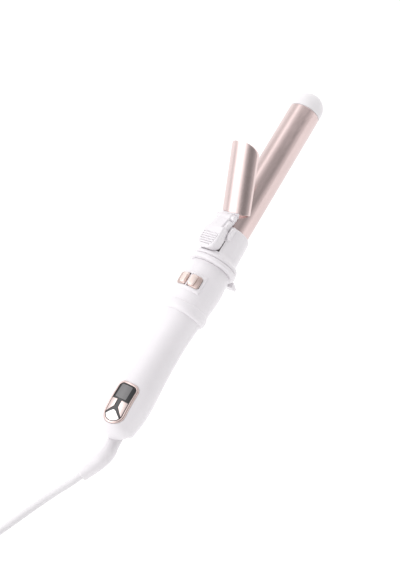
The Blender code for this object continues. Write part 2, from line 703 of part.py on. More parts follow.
def cord_boot(iron):
    """The tapered strain relief: straight out of the sleeve, then bent to the left."""
    out = [iron_point(iron, x) for x in (SWIVEL_START - GAP, -2.5)]
    path = [
        *out, (-175, -1.2, 6.45), (-182, 0, 6.6), (-188, 2.2, 6.3), (-194.5, 5.2, 6.0),
        (-200.5, 8.0, 5.5),
    ]  # fmt: skip
    radii = [5.7, 5.9, 6.35, 6.5, 6.2, 5.9, 5.4]
    fine = smooth([(*point, radius) for point, radius in zip(path, radii)], 3)
    tube("cord_boot", [p[:3] for p in fine], 1.0, WHITE, widths=[p[3] for p in fine])


def iron_point(iron, x):
    """Where a point on the cord's axis in the handle lies on the table, in millimetres."""
    return tuple(iron.matrix_world @ Vector((x * MM, 0, CORD_Z * MM)) / MM)


def cord():
    """The cord to the coil, the coil itself, and the plug beside it."""
    tube("cord_run", smooth(CORD_ROUTE, 3), CORD_RADIUS, WHITE)
    inner, outer = COIL_RADII
    ring = [(0.02, inner), (COIL_HEIGHT, inner), (COIL_HEIGHT, outer), (0.02, outer)]
    coil = turned("cord_coil", ring, WHITE, steps=36, axis="Z")
    round_edges(coil, 2.5)
    coil.location = Vector((*COIL_CENTRE, 0)) * MM
    plug(empty("plug_frame", None, coil_exit(), (0, 0, COIL_EXIT_ANGLE + 90)))


def coil_exit():
    """Where the cord's straight end leaves the coil's outer turn."""
    angle = math.radians(COIL_EXIT_ANGLE)
    x = COIL_CENTRE[0] + COIL_OUTER_TURN * math.cos(angle)
    y = COIL_CENTRE[1] + COIL_OUTER_TURN * math.sin(angle)
    return (x, y, 0)


def plug(frame):
    """The cord's end, running along the frame's X, with a two-blade plug on it."""
    centre = 7.1
    tube("cord_tail", [(24.8, 0, 7.5), (29, 0, 7.3), (33.7, 0, centre)], CORD_RADIUS, WHITE, frame)
    body = box("plug_body", (50, 79), (-11.5, 11.5), (0.1, 14.1), WHITE, frame, rounded=3.0)
    relief = [(34, 0), (34, 3.9), (42, 4.8), (52, 5.6), (52, 0)]
    neck = turned("plug_relief", relief, None, frame, steps=16)
    neck.location = (0, 0, centre * MM)
    join(body, neck)
    for name, y in (("left", 6.35), ("right", -6.35)):
        spans = ((79.3, 96.5), (y - 0.75, y + 0.75), (centre - 3.2, centre + 3.2))
        box(f"plug_blade_{name}", *spans, COPPER, frame, rounded=0.4)


# ---------------------------------------------------------------- assembly


def main():
    iron = empty("iron_frame", rotation=(0, -resting_tilt(), 0))
    foot = Vector((STAND_PIN[0], 0, -FOOT_REACH)) * MM
    iron.location = -(iron.rotation_euler.to_matrix() @ foot)
    bpy.context.view_layer.update()
    head = empty("head_frame", iron, rotation=(HEAD_ROLL, 0, 0))
    clamp = hinge_frame("clamp_hinge", head, CLAMP_PIVOT, -CLAMP_OPENING)
    lever = hinge_frame("lever_hinge", clamp, CLAMP_PIVOT, CLAMP_OPENING)
    pinion = empty("pinion_frame", iron, (0, 0, PINION_Z))
    swivel = empty("swivel_frame", iron, (0, 0, CORD_Z))
    foot_frame = hinge_frame("stand_hinge", iron, STAND_PIN)
    key_frames = {n: empty(f"{n}_frame", iron) for n in ("minus_key", "plus_key", "power_key")}

    handle_shells(iron)
    control_panel(iron, key_frames)
    handle_inside(iron)
    pad_frame = empty("button_pad_frame", iron, rotation=(PAD_ROLL, 0, 0))
    front_housing(iron, pad_frame)
    button_board(pad_frame)
    for name, side in (("left", 1), ("right", -1)):
        frame = empty(f"{name}_button_frame", pad_frame, rotation=(-side * BUTTON_ANGLE, 0, 0))
        rotation_button(f"{name}_rotation_button", side, frame)
    stand_ring(iron)
    stand(foot_frame)
    head_housing(head)
    barrel_parts(head)
    clamp_spring(head)
    clamp_plate(clamp)
    clamp_cap(clamp, lever)
    thumb_lever(lever)
    drive_train(iron, head, pinion)
    slip_rings(iron, head)
    swivel_sleeve(swivel)
    cord_boot(iron)
    cord()
    bpy.context.view_layer.update()


main()
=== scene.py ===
import json
import math

import bmesh
import bpy
from mathutils import Matrix, Vector


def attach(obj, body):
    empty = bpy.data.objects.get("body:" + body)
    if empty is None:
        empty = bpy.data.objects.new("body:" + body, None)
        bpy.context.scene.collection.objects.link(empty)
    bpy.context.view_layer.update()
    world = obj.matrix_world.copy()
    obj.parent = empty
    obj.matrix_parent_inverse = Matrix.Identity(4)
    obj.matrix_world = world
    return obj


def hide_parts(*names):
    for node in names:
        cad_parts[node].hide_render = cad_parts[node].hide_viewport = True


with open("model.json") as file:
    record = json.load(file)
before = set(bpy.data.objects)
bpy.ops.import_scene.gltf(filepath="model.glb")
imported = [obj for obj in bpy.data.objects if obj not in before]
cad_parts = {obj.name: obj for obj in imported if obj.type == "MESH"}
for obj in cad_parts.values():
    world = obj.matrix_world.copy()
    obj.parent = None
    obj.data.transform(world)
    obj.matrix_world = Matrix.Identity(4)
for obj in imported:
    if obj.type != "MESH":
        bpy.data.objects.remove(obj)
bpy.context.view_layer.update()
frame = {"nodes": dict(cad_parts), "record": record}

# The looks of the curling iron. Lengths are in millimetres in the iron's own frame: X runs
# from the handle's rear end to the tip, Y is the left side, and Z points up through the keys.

MM = 0.001

# Places and sizes of the shown object, most of which the CAD source states too
TILT = 6.44988  # degrees that the iron leans back onto its handle
FOOT = Vector((163.3, 0, -33.0))
HEAD_ROLL = -10.5
CLAMP_PIVOT = Vector((203.5, 0, 17.2))
CLAMP_OPENING = 36.0
LEVER_RIB_PITCH = 2.1
PAD_ROLL = -3.5
BUTTON_ANGLE = 18.0
BUTTON_X = 139.8
STAND_PIN = Vector((163.3, 0, -23.5))
BARREL_RADIUS = 14.0
HINGE_RADIUS = 1.95  # of the lug and the knuckles round the stand's pin
CORD_Z = -8.0
CORD_RADIUS = 3.0
COIL_CENTRE = Vector((-348.0, 28.0, 0))
COIL_OUTER_TURN = 46.5
COIL_PITCH = 6.1
COIL_TURNS = 3.5  # in each of its two layers
COIL_START = 64.9
COIL_EXIT_ANGLE = 120.0
PANEL_REAR = 17.75  # centre of the panel's round rear end
PANEL = (9.75, PANEL_REAR, 43.2, 5.0)  # half width, rear centre, front end and corner radius
NOSE_LENGTH = 12
NOSE_RADIUS = 15.6
HANDLE_STATIONS = [
    (NOSE_LENGTH, NOSE_RADIUS), (20, 16.8), (28.5, 17.4), (40, 17.2), (50, 16.5), (64, 15.7), (87, 15.2),
    (103, 15.8), (113.2, 16.6),
]  # fmt: skip


def about(axis, degrees):
    return Matrix.Rotation(math.radians(degrees), 4, axis)


def at(point):
    return Matrix.Translation(Vector(point))


IRON = about("Y", -TILT) @ at(-FOOT)
HEAD = IRON @ about("X", HEAD_ROLL)
SHUT = HEAD @ at(CLAMP_PIVOT) @ about("Y", -CLAMP_OPENING) @ at(-CLAMP_PIVOT)
PAD = IRON @ about("X", PAD_ROLL)
TABLE = Matrix.Identity(4)


# ---------------------------------------------------------------- materials


def shader_of(name, roughness, metallic=0.0):
    made = bpy.data.materials.new(name)
    made.use_nodes = True
    shader = made.node_tree.nodes["Principled BSDF"]
    shader.inputs["Roughness"].default_value = roughness
    shader.inputs["Metallic"].default_value = metallic
    return made, made.node_tree, shader


def texture(tree, scale, stretch=(1, 1, 1), detail=3.0, turn=(0, 0, 0)):
    """Noise that is fixed to the object, with its grain stretched along an axis."""
    where = tree.nodes.new("ShaderNodeTexCoord")
    mapping = tree.nodes.new("ShaderNodeMapping")
    mapping.inputs["Scale"].default_value = stretch
    mapping.inputs["Rotation"].default_value = [math.radians(a) for a in turn]
    noise = tree.nodes.new("ShaderNodeTexNoise")
    noise.inputs["Scale"].default_value = scale
    noise.inputs["Detail"].default_value = detail
    tree.links.new(where.outputs["Object"], mapping.inputs["Vector"])
    tree.links.new(mapping.outputs["Vector"], noise.inputs["Vector"])
    return noise


def ramp(tree, source, low, high, target):
    """A colour or a number that runs from low to high with the noise."""
    node = tree.nodes.new("ShaderNodeValToRGB")
    node.color_ramp.elements[0].position = 0.35
    node.color_ramp.elements[1].position = 0.65
    for element, value in zip(node.color_ramp.elements, (low, high)):
        element.color = (*value, 1) if hasattr(value, "__len__") else (value, value, value, 1)
    tree.links.new(source.outputs["Fac"], node.inputs["Fac"])
    tree.links.new(node.outputs["Color"], target)


def bump(tree, source, shader, strength, distance):
    node = tree.nodes.new("ShaderNodeBump")
    node.inputs["Strength"].default_value = strength
    node.inputs["Distance"].default_value = distance
    tree.links.new(source.outputs["Fac"], node.inputs["Height"])
    tree.links.new(node.outputs["Normal"], shader.inputs["Normal"])


def shaded(colour, by):
    return tuple(c * by for c in colour)


def plastic(name, colour, roughness, grain=2600, height=0.00002, coat=0.0, spread=0.02):
    made, tree, shader = shader_of(name, roughness)
    shader.inputs["Coat Weight"].default_value = coat
    shader.inputs["Coat Roughness"].default_value = 0.12
    shader.inputs["IOR"].default_value = 1.5
    cloud = texture(tree, 38)
    low, high = shaded(colour, 1 - spread), shaded(colour, 1 + spread)
    ramp(tree, cloud, low, high, shader.inputs["Base Color"])
    fine = texture(tree, grain, detail=2)
    ramp(tree, fine, roughness - 0.03, roughness + 0.04, shader.inputs["Roughness"])
    bump(tree, fine, shader, 0.25, height)
    return made


def metal(
    name, colour, roughness, stretch=(1, 1, 1), scale=900, height=0.00002, turn=(0, 0, 0)
):  # fmt: skip
    made, tree, shader = shader_of(name, roughness, 1.0)
    spread = 0.04
    cloud = texture(tree, 25)
    low, high = shaded(colour, 1 - spread), shaded(colour, 1 + spread)
    ramp(tree, cloud, low, high, shader.inputs["Base Color"])
    lines = texture(tree, scale, stretch, turn=turn)
    ramp(tree, lines, roughness - 0.05, roughness + 0.06, shader.inputs["Roughness"])
    bump(tree, lines, shader, 0.2, height)
    return made


WHITE = plastic("white_gloss", (0.755, 0.725, 0.752), 0.3, coat=0.25)
SOFT_WHITE = plastic("white_satin", (0.76, 0.735, 0.755), 0.42, grain=3400, height=0.00004)
JACKET = plastic("cord_jacket", (0.75, 0.73, 0.75), 0.45, grain=3000, height=0.00004)
ROSE = metal("rose_barrel", (0.64, 0.515, 0.505), 0.2, (0.06, 1, 1), 1500, turn=(0, TILT, 0))
ROSE_PLATE = metal(
    "rose_plate", (0.70, 0.57, 0.56), 0.2, (0.06, 1, 1), 1500, turn=(0, TILT + CLAMP_OPENING, 0)
)
TRIM = metal("rose_trim", (0.70, 0.56, 0.535), 0.24, scale=2200, height=0.00001)
KEY = metal("rose_key", (0.78, 0.65, 0.63), 0.2, (1, 0.08, 1), 2400)
# one rose metal in two brightnesses: painted light on the buttons' raised blocks, painted shade on their
# plates
BUTTON_TOP_PAINTED_LIGHT = metal("button_top_painted_light", (0.86, 0.73, 0.69), 0.4, scale=2200, height=0.00001)
BUTTON_RIM_PAINTED_SHADE = metal("button_rim_painted_shade", (0.62, 0.49, 0.46), 0.26, scale=2200, height=0.00001)
BRIGHT_KEY = metal("bright_key", (0.95, 0.92, 0.92), 0.16, scale=2400)
WINDOW = plastic("dark_window", (0.012, 0.012, 0.014), 0.12, coat=0.6, spread=0.1)
BARS = plastic("dark_bars", (0.05, 0.05, 0.053), 0.3, spread=0.08)
SCREEN = plastic("screen", (0.15, 0.145, 0.15), 0.22, grain=5200, spread=0.05, coat=0.5)
# painted shade: a near-black colour for the shaded floors of the slits beside the lever
SHADOW = plastic("shadow_gap", (0.10, 0.085, 0.085), 0.6, spread=0.1)
INNER = {
    "steel": metal("steel", (0.62, 0.62, 0.64), 0.3, (1, 1, 0.1)),
    "aluminium": metal("aluminium", (0.77, 0.78, 0.79), 0.35, (0.1, 1, 1)),
    "brass": metal("nickelled_brass", (0.74, 0.66, 0.50), 0.26, (0.1, 1, 1)),
    "circuit_board": plastic("circuit_board", (0.03, 0.2, 0.09), 0.4, spread=0.2),
    "black_plastic": plastic("black_plastic", (0.03, 0.03, 0.03), 0.45, spread=0.15),
    "nylon": plastic("nylon", (0.75, 0.73, 0.66), 0.45),
    "heat_insulator": plastic("heat_insulator", (0.7, 0.68, 0.62), 0.6, grain=900, height=0.0001),
    "dark_window": WINDOW,
    "white_plastic": WHITE,
    "cord_jacket": JACKET,
    "rose_metal": ROSE,
    "rose_trim": TRIM,
}


def paint_carried_nodes():
    """Every CAD node gets the procedural look of its slot in the record."""
    slots = {row["node"]: row["material_slot"] for row in frame["record"]["subparts"]}
    for name, obj in frame["nodes"].items():
        obj.data.materials.clear()
        obj.data.materials.append(INNER[slots[name]])


# ---------------------------------------------------------------- shapes


def smooth(points, per_span=6):
    """A Catmull-Rom curve through the points."""
    rows = [Vector(point) for point in points]
    rows = [2 * rows[0] - rows[1], *rows, 2 * rows[-1] - rows[-2]]
    made = []
    for a, b, c, d in zip(rows, rows[1:], rows[2:], rows[3:]):
        for step in range(per_span):
            t = step / per_span
            made.append(
                b + (c - a) * (t / 2) + (2 * a - 5 * b + 4 * c - d) * (t * t / 2)
                + (3 * b - a - 3 * c + d) * (t**3 / 2)
            )  # fmt: skip
    return [tuple(point) for point in [*made, rows[-2]]]


def arc(centre, radius, start, end, steps):
    angles = [math.radians(start + (end - start) * i / steps) for i in range(steps + 1)]
    return [
        (centre[0] + radius * math.cos(a), centre[1] + radius * math.sin(a)) for a in angles
    ]


def solid(name, bm, matrix):
    """An object from a mesh in millimetres, in the frame that the matrix gives."""
    bmesh.ops.transform(bm, matrix=Matrix.Scale(MM, 4) @ matrix, verts=bm.verts)
    bmesh.ops.recalc_face_normals(bm, faces=bm.faces)
    mesh = bpy.data.meshes.new(name)
    bm.to_mesh(mesh)
    bm.free()
    made = bpy.data.objects.new(name, mesh)
    bpy.context.scene.collection.objects.link(made)
    return made


def lathe(name, profile, matrix, steps=128, shape=None):
    """A closed profile of (x, radius) turned about X; shape changes a radius by its place."""
    bm = bmesh.new()
    rings = []
    for x, r in profile:
        if r == 0:
            rings.append([bm.verts.new((x, 0, 0))])
            continue
        ring = []
        for i in range(steps):
            angle = math.tau * i / steps
            radius = shape(x, r, angle) if shape else r
            ring.append(bm.verts.new((x, radius * math.sin(angle), radius * math.cos(angle))))
        rings.append(ring)
    pairs = list(zip(rings, rings[1:]))
    if len(rings[0]) > 1 or len(rings[-1]) > 1:
        pairs.append((rings[-1], rings[0]))
    for first, second in pairs:
        for i in range(steps):
            j = (i + 1) % steps
            corners = [first[i % len(first)], first[j % len(first)]]
            corners += [second[j % len(second)], second[i % len(second)]]
            corners = list(dict.fromkeys(corners))
            if len(corners) > 2:
                bm.faces.new(corners)
    return solid(name, bm, matrix)


AXES = {
    "X": Matrix(((0, 0, 1, 0), (1, 0, 0, 0), (0, 1, 0, 0), (0, 0, 0, 1))),
    "Y": Matrix(((1, 0, 0, 0), (0, 0, 1, 0), (0, 1, 0, 0), (0, 0, 0, 1))),
    "Z": Matrix.Identity(4),
}


def slab(name, outline, span, matrix, along="Z", rounded=0.0, segments=4):
    """A flat outline with a thickness, its edges rounded."""
    bm = bmesh.new()
    low = [bm.verts.new((u, v, span[0])) for u, v in outline]
    high = [bm.verts.new((u, v, span[1])) for u, v in outline]
    bm.faces.new(low)
    bm.faces.new(high)
    for i in range(len(outline)):
        j = (i + 1) % len(outline)
        bm.faces.new((low[i], low[j], high[j], high[i]))
    bmesh.ops.recalc_face_normals(bm, faces=bm.faces)
    if rounded:
        sharp = [e for e in bm.edges if e.calc_face_angle(0) > math.radians(35)]
        bmesh.ops.bevel(
            bm, geom=sharp, offset=rounded, segments=segments, profile=0.5, affect="EDGES"
        )
    return solid(name, bm, matrix @ AXES[along])


def rectangle(xs, ys, radius=0.0, steps=6):
    (x0, x1), (y0, y1) = sorted(xs), sorted(ys)
    if not radius:
        return [(x0, y0), (x1, y0), (x1, y1), (x0, y1)]
    return (
        arc((x1 - radius, y1 - radius), radius, 0, 90, steps)
        + arc((x0 + radius, y1 - radius), radius, 90, 180, steps)
        + arc((x0 + radius, y0 + radius), radius, 180, 270, steps)
        + arc((x1 - radius, y0 + radius), radius, 270, 360, steps)
    )


def block(name, xs, ys, zs, matrix, rounded=0.0, corner=0.0):
    return slab(name, rectangle(xs, ys, corner), zs, matrix, rounded=rounded)


def band(name, xs, radii, angles, matrix, rounded=0.0):
    """Part of a ring about X, its angles in degrees from straight up to the right."""
    start, end = 90 + angles[0], 90 + angles[1]
    outline = arc((0, 0), radii[1], start, end, 24) + arc((0, 0), radii[0], end, start, 24)
    return slab(name, outline, xs, matrix, "X", rounded, 3)


def sweep(name, points, radii, matrix, sides):
    """A tube along points, its radius given for each."""
    rows = [Vector(p) for p in points]
    bm = bmesh.new()
    rings = []
    side = None
    for i, here in enumerate(rows):
        before, after = rows[max(i - 1, 0)], rows[min(i + 1, len(rows) - 1)]
        along = (after - before).normalized()
        side = along.orthogonal() if side is None else side - along * side.dot(along)
        side.normalize()
        up = along.cross(side)
        rings.append([
            bm.verts.new(here + (side * math.cos(a) + up * math.sin(a)) * radii[i])
            for a in (math.tau * k / sides for k in range(sides))
        ])
    for first, second in zip(rings, rings[1:]):
        for i in range(sides):
            bm.faces.new((first[i], first[(i + 1) % sides], second[(i + 1) % sides], second[i]))
    bm.faces.new(rings[0])
    bm.faces.new(rings[-1])
    return solid(name, bm, matrix)


def carve(obj, tool, operation="DIFFERENCE"):
    """A Boolean whose result is kept as the object's mesh; the tool is removed."""
    modifier = obj.modifiers.new("carve", "BOOLEAN")
    modifier.operation = operation
    modifier.object = tool
    bpy.context.view_layer.update()
    graph = bpy.context.evaluated_depsgraph_get()
    mesh = bpy.data.meshes.new_from_object(obj.evaluated_get(graph))
    obj.modifiers.clear()
    obj.data = mesh
    bpy.data.objects.remove(tool)
    return obj


def union(obj, *tools):
    for tool in tools:
        carve(obj, tool, "UNION")
    return obj


def soften(obj, width, segments=3, angle=32):
    """Rounds the sharp edges and keeps the result."""
    modifier = obj.modifiers.new("soften", "BEVEL")
    modifier.width = width * MM
    modifier.segments = segments
    modifier.limit_method = "ANGLE"
    modifier.angle_limit = math.radians(angle)
    modifier.use_clamp_overlap = True
    return keep_modifiers(obj)


def melt(obj, voxel, rounds):
    """Remeshes and relaxes a joined shape, so that its pieces flow into each other."""
    remesh = obj.modifiers.new("melt", "REMESH")
    remesh.mode = "VOXEL"
    remesh.voxel_size = voxel * MM
    relax = obj.modifiers.new("relax", "SMOOTH")
    relax.factor = 0.5
    relax.iterations = rounds
    return keep_modifiers(obj)


def keep_modifiers(obj):
    bpy.context.view_layer.update()
    graph = bpy.context.evaluated_depsgraph_get()
    mesh = bpy.data.meshes.new_from_object(obj.evaluated_get(graph))
    obj.modifiers.clear()
    obj.data = mesh
    return obj


def dress(obj, look, body, *nodes, slot="white_plastic", sharp=35):
    """Gives a piece its look and its CAD body, and says which CAD nodes it stands for."""
    obj.data.materials.clear()
    obj.data.materials.append(look)
    obj.data.shade_smooth()
    obj.data.set_sharp_from_angle(angle=math.radians(sharp))
    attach(obj, body)
    if nodes:
        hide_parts(*nodes)
    return obj


# ---------------------------------------------------------------- handle


def handle_line():
    nose = [
        (NOSE_LENGTH * (1 - math.cos(a)), NOSE_RADIUS * math.sin(a))
        for a in (math.radians(3 * i) for i in range(30))
    ]
    return nose + smooth(HANDLE_STATIONS, 8)


def handle_radius(x):
    line = handle_line()
    for (x0, r0), (x1, r1) in zip(line, line[1:]):
        if x0 <= x <= x1:
            return r0 + (r1 - r0) * (x - x0) / (x1 - x0)
    return line[-1][1]


def panel_outline(inset=0.0, steps=8):
    half, rear, front, corner = PANEL[0] - inset, PANEL[1], PANEL[2] - inset, PANEL[3] - inset
    return (
        arc((rear, 0), half, 90, 270, 3 * steps)
        + arc((front - corner, corner - half), corner, -90, 0, steps)
        + arc((front - corner, half - corner), corner, 0, 90, steps)
    )


def skin(name, below, above):
    """The handle's surface as a thick skin, for cutting what follows it."""
    line = [(x, r) for x, r in handle_line() if 2 < x < 52]
    profile = [(x, r + above) for x, r in line] + [(x, r - below) for x, r in line[::-1]]
    return lathe(name, profile, IRON, 160)


def handle():
    outer = handle_line()
    inner = [
        (113.2, 13.6), (103, 13.4), (87, 13.2), (64, 13.7), (28.5, 15.2), (12, 13.6), (8, 9), (7, 0),
    ]  # fmt: skip
    seam = 0.05
    for name, zs in (("handle_upper", (seam, 25)), ("handle_lower", (-25, -seam))):
        shell = lathe(name, outer + inner, IRON, 160)
        carve(shell, block("half", (-5, 120), (-25, 25), zs, IRON), "INTERSECT")
        if name == "handle_upper":
            carve(shell, slab("opening", panel_outline(-0.2), (5, 25), IRON))
            dress(shell, WHITE, "handle", "handle_upper_shell")
        else:
            carve(shell, block("swivel_room", (-5, 8.5), (-25, 25), (-25, 5), IRON))
            hole = arc((0, CORD_Z), 4.7, 0, 360, 40)[:-1]
            carve(shell, slab("cord_hole", hole, (5, 16), IRON, "X"))
            dress(shell, WHITE, "handle", "handle_lower_shell")


def bezel():
    """A rounded rose-gold bead that follows the handle's surface round the panel."""
    inset, half = 0.85, 0.86
    section = [(-half, -1.4), (-half, 0.15), *arc((-half + 0.6, 0.15), 0.6, 180, 90, 4)]
    section += [*arc((half - 0.6, 0.15), 0.6, 90, 0, 4), (half, 0.15), (half, -1.4)]
    line = [Vector(p) for p in panel_outline(inset, 10)]
    dense = []
    for a, b in zip(line, line[1:] + line[:1]):
        count = max(1, int((b - a).length / 1.2))
        dense += [a.lerp(b, i / count) for i in range(count)]
    bm = bmesh.new()
    rings = []
    for i, here in enumerate(dense):
        along = dense[(i + 1) % len(dense)] - dense[i - 1]
        out = Vector((along.y, -along.x)).normalized()
        ring = []
        for across, up in section:
            spot = here + out * across
            radius = handle_radius(spot.x) + up
            ring.append(bm.verts.new((spot.x, spot.y, math.sqrt(radius**2 - spot.y**2))))
        rings.append(ring)
    count = len(section)
    for first, second in zip(rings, rings[1:] + rings[:1]):
        for k in range(count):
            bm.faces.new((first[k], first[(k + 1) % count], second[(k + 1) % count], second[k]))
    dress(solid("bezel", bm, IRON), TRIM, "handle", "panel_bezel", slot="rose_trim")


def keys():
    """The window, its Y-shaped bars and the three keys between them."""
    key_arc = 7.5
    rear = (PANEL_REAR, 0)
    side_key = [(27.3, 2.1), (27.3, key_arc), *arc(rear, key_arc, 90, 106, 4), (21.6, 2.1)]
    power_key = [(18.4, -0.8), (18.4, 0.8), *arc(rear, key_arc, 120, 240, 24)]
    shapes = {
        "minus_key": (side_key, KEY), "plus_key": ([(x, -y) for x, y in side_key], KEY),
        "power_key": (power_key, BRIGHT_KEY),
    }  # fmt: skip
    for name, (outline, look) in shapes.items():
        key = slab(f"{name}_face", outline, (6, 24), IRON)
        carve(key, skin("skin", 1.6, 0.42), "INTERSECT")
        soften(key, 0.38, 3, 40)
        dress(key, look, name, name, slot="rose_trim")
    window = slab("window_face", panel_outline(1.95), (6, 24), IRON)
    carve(window, skin("skin", 1.2, -0.1), "INTERSECT")
    dress(window, WINDOW, "handle", "panel_window", slot="dark_window")
    bars = slab("window_bars", [
        (28.0, -7.6), (28.0, 7.6), (27.6, 7.6), (27.6, 1.7), (21.4, 1.7),
        *arc(rear, 7.4, 108, 117, 1), (18.7, 0.5), (18.7, -0.5), *arc(rear, 7.4, 243, 252, 1),
        (21.4, -1.7), (27.6, -1.7), (27.6, -7.6),
    ], (6, 24), IRON)  # fmt: skip
    carve(bars, skin("skin", 1.0, 0.05), "INTERSECT")
    dress(bars, BARS, "handle", slot="dark_window")
    screen = slab("screen_face", rectangle((28.9, 40.3), (-4.3, 5.9), 0.8), (6, 24), IRON)
    carve(screen, skin("skin", 1.0, -0.04), "INTERSECT")
    dress(screen, SCREEN, "handle", slot="dark_window")


# ---------------------------------------------------------------- housing, buttons, stand


def ease(value, low, high):
    t = min(1, max(0, (value - low) / (high - low)))
    return t * t * (3 - 2 * t)


def housing():
    bead = [
        (113.25, 16.9), (114.2, 18.2), (116.2, 19.0), (119, 19.15), (121.4, 18.8), (122.8, 18.15),
    ]  # fmt: skip
    rest = [(126, 18.2), (133, 18.8), (140.5, 19.2), (148, 19.0), (155, 18.3), (160.8, 17.6)]
    outer = smooth([*bead, *rest], 10)
    inner = [(160.8, 15.8), (155, 16.2), (140, 16.4), (124, 16.2), (113.25, 15.2)]

    def with_pad(x, radius, angle):
        turn = math.degrees((angle + math.pi) % math.tau - math.pi) + PAD_ROLL
        if radius < 17 or not 131 < x < 149 or abs(turn) > 42:
            return radius
        inside = ease(x, 131.6, 132.6) * ease(-x, -148.2, -147.2) * ease(-abs(turn), -39.5, -36.5)
        return radius + (max(20.1, radius) - radius) * inside

    shell = lathe("housing", outer + inner, IRON, 192, with_pad)
    opening = rectangle((BUTTON_X - 5.55, BUTTON_X + 5.55), (-10.6, 10.6), 2.4)
    carve(shell, slab("opening", opening, (8, 25), PAD))
    bridge = block("bridge", (BUTTON_X - 6, BUTTON_X + 6), (-0.5, 0.5), (15.5, 20.7), PAD)
    union(shell, bridge)
    dress(shell, WHITE, "handle", "front_housing")


def buttons():
    """Each rotation button is a plate with a raised block on its inner side: the block has painted light
    and the plate painted shade, as copies of one rose metal.
    """
    for name, side in (("left", 1), ("right", -1)):
        place = PAD @ about("X", -side * BUTTON_ANGLE)
        x0, x1 = BUTTON_X - 5.4, BUTTON_X + 5.4
        body = f"{name}_button"
        spread = (-5.6 * side, 4.5 * side)
        plate = block(f"{body}_plate", (x0, x1), spread, (17.6, 21), place, 0.6, 2.4)
        dress(plate, BUTTON_RIM_PAINTED_SHADE, body, f"{name}_rotation_button", slot="rose_trim", sharp=50)
        spread = (-5.4 * side, 0.2 * side)
        raised = block(f"{body}_block", (x0 + 0.7, x1 - 0.7), spread, (19, 22.8), place, 0.9, 2.0)
        dress(raised, BUTTON_TOP_PAINTED_LIGHT, body, slot="rose_trim", sharp=50)


def stand():
    lip = [
        (161.1, 18.2), (161.6, 20.3), (162.8, 21.2), (164.5, 21.3), (165.5, 20.8), (165.95, 20.0),
    ]  # fmt: skip
    profile = [lip[0], *smooth(lip[1:], 6), (165.95, 15.6), (161.1, 15.6)]
    ring = lathe("ring", profile, IRON, 160)
    x, z = STAND_PIN.x, STAND_PIN.z
    r = HINGE_RADIUS
    lug = [(x - r, -18.2), *arc((x, z), r, 180, 360, 16), (x + r, -18.2)]
    union(ring, slab("lug", lug, (-4, 4), IRON, "Y", 0.3))
    dress(ring, WHITE, "handle", "stand_ring")
    wedge = [(x - 1.5, z - 0.7), (x + 3.6, z - 0.7), (x + 1.6, -36), (x - 0.4, -36)]
    fin = slab("stand_fin", wedge, (-12, 12), IRON, "Y", 0.5)
    union(fin, slab("knuckle", arc((x, z), r, 0, 360, 32)[:-1], (-8.3, 8.3), IRON, "Y", 0.3))
    carve(fin, block("lug_room", (x - 5, x + 5), (-4.3, 4.3), (z - 2.4, z + 5), IRON))
    carve(fin, block("under", (-30, 30), (-30, 30), (-20, 0), TABLE))
    dress(fin, WHITE, "stand", "stand")


# ---------------------------------------------------------------- head and clamp


# The L-shaped slits beside the lever, floored with painted shade: each arm's run along X and its angles
# from straight up
LEVER_SLOTS = [((172.6, 183.6), (29.5, 34.5)), ((172.4, 174.0), (20, 34))]
FIRST_SLOT = 91  # the number in the first painted shade sheet's name


def head():
    lip = [
        (166.05, 19.9), (166.6, 20.55), (168, 20.8), (169.2, 20.3), (169.9, 19.5), (170.9, 18.6),
    ]  # fmt: skip
    collar = [
        (172.3, 17.8), (174, 17.35), (178, 17.1), (185, 16.9), (192, 16.7), (196, 16.4),
        (197.4, 15.9), (198.1, 15.0),
    ]  # fmt: skip
    inner = [(198.2, 14.3), (174, 14.3), (174, 12), (166.05, 12)]
    shell = lathe("collar", smooth([*lip, *collar], 8) + inner, HEAD, 160)
    shoulder = [(184, 11), (197.4, 11), (197.4, 14.4), (194.5, 16.1), (189, 16.4), (185.5, 14.8)]
    for ys in ((9.4, 12.2), (-12.2, -9.4)):
        union(shell, slab("shoulder", shoulder, ys, HEAD, "Y", 0.9, 4))
    x, z = CLAMP_PIVOT.x, CLAMP_PIVOT.z
    lug = [(192.5, 14.7), (201, 15.3), *arc((x, z), 1.9, -90, 90, 12), (199, 18.5), (193.5, 16.0)]
    for ys in ((2.9, 5.2), (-5.2, -2.9)):
        union(shell, slab("lug", lug, ys, HEAD, "Y"))
    slots = [(side, *slot) for side in (1, -1) for slot in LEVER_SLOTS]
    for number, (side, xs, angles) in enumerate(slots, FIRST_SLOT):
        spread = sorted(side * angle for angle in angles)
        carve(shell, band("slot", xs, (16.0, 18.5), spread, HEAD))
        # a dark sheet of painted shade on the slit's floor, where there is only shade
        painted_shade_sheet = band(f"lever_slot_shade_{number}", xs, (15.6, 16.1), spread, HEAD)
        dress(painted_shade_sheet, SHADOW, "head", slot="black_plastic")
    dress(shell, WHITE, "head", "head_housing")


def barrel():
    r = BARREL_RADIUS
    tube = [
        (175, r - 1.2), (175, r), (326.4, r), (326.85, r - 0.12), (327, r - 0.45), (327, r - 1.2),
    ]  # fmt: skip
    dress(lathe("barrel_tube", tube, HEAD, 192), ROSE, "head", "barrel", slot="rose_metal")
    dome = [
        (318, 0), (318, r - 1.6), (327.2, r - 1.6), (327.3, r - 0.5), (327.5, r - 0.12), (327.9, r),
        *arc((332.3, 0), r, 90, 0, 28)[:-1], (332.3 + r, 0),
    ]  # fmt: skip
    dress(lathe("tip", dome, HEAD, 160), SOFT_WHITE, "head", "cool_tip")


